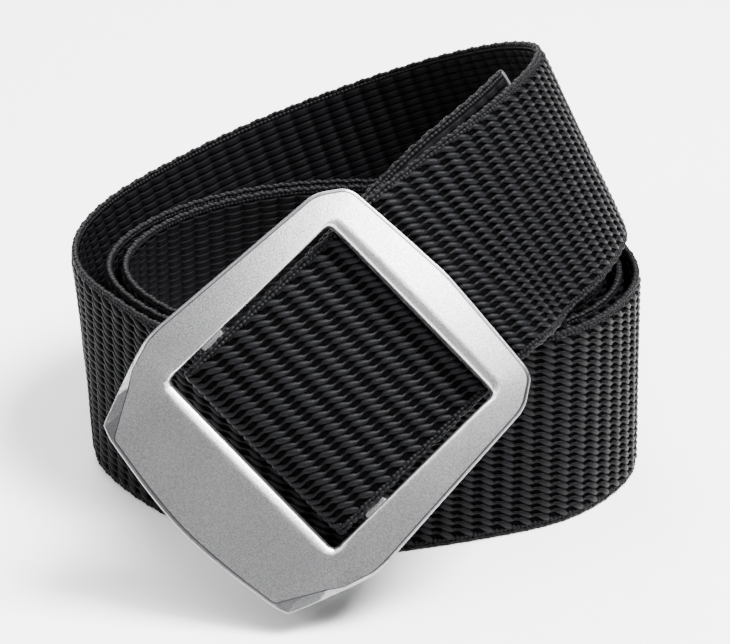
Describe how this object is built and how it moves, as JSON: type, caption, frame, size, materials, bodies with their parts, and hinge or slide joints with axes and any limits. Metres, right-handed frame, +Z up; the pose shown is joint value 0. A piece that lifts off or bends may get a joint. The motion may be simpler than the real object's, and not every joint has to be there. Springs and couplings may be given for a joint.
{
  "type": "coiled web belt with plate buckle",
  "caption": "Webbing belt rolled in a flat coil on its edge, its square-window plate buckle leaning in front with the strap folded round the cross bar.",
  "frame": {"origin": "middle of the whole rolled belt's footprint, on the surface it stands on", "axes": "+Z up; -Y is the side with the buckle; +X to the right as the buckle is seen"},
  "size_m": [0.1044, 0.123, 0.0741],
  "materials": {
    "black_webbing": "coarse ribbed polyamide webbing, near black",
    "pearl_silver": "bead-blasted matte pearl silver"
  },
  "bodies": {
    "root": {"webbing_strap": "black_webbing", "buckle_frame": "pearl_silver"}
  },
  "joints": []
}
